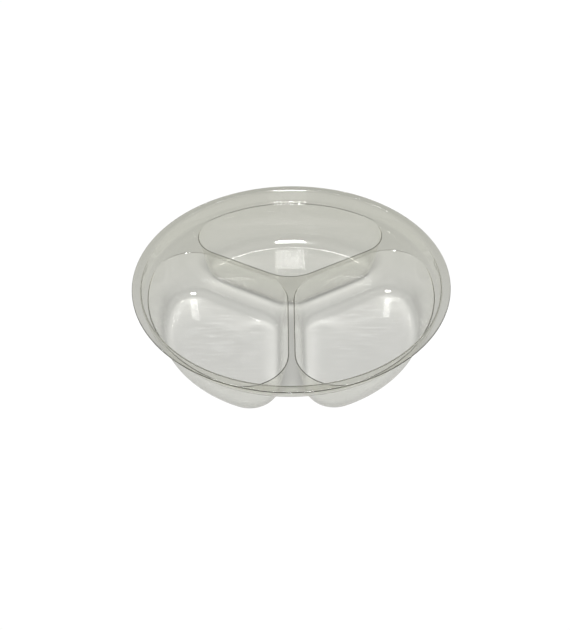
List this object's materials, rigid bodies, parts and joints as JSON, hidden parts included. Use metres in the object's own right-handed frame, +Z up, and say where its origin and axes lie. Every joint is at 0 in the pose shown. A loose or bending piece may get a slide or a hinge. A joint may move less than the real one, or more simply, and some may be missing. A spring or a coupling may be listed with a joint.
{
  "type": "compartment dish",
  "caption": "Round clear dish formed from one thin plastic sheet, with rounded wells divided by narrow webs, a recessed ledge, a step wall and a flat flange.",
  "frame": {"origin": "centre of the dish, on the plane that the undersides of the well floors rest on", "axes": "+Z up through the open side, +Y along the axis of the first well, and a web runs towards -Y"},
  "size_m": [0.179, 0.179, 0.038],
  "materials": {
    "clear_sheet": "clear gloss"
  },
  "bodies": {
    "root": {"three_well_dish": "clear_sheet"}
  },
  "joints": []
}
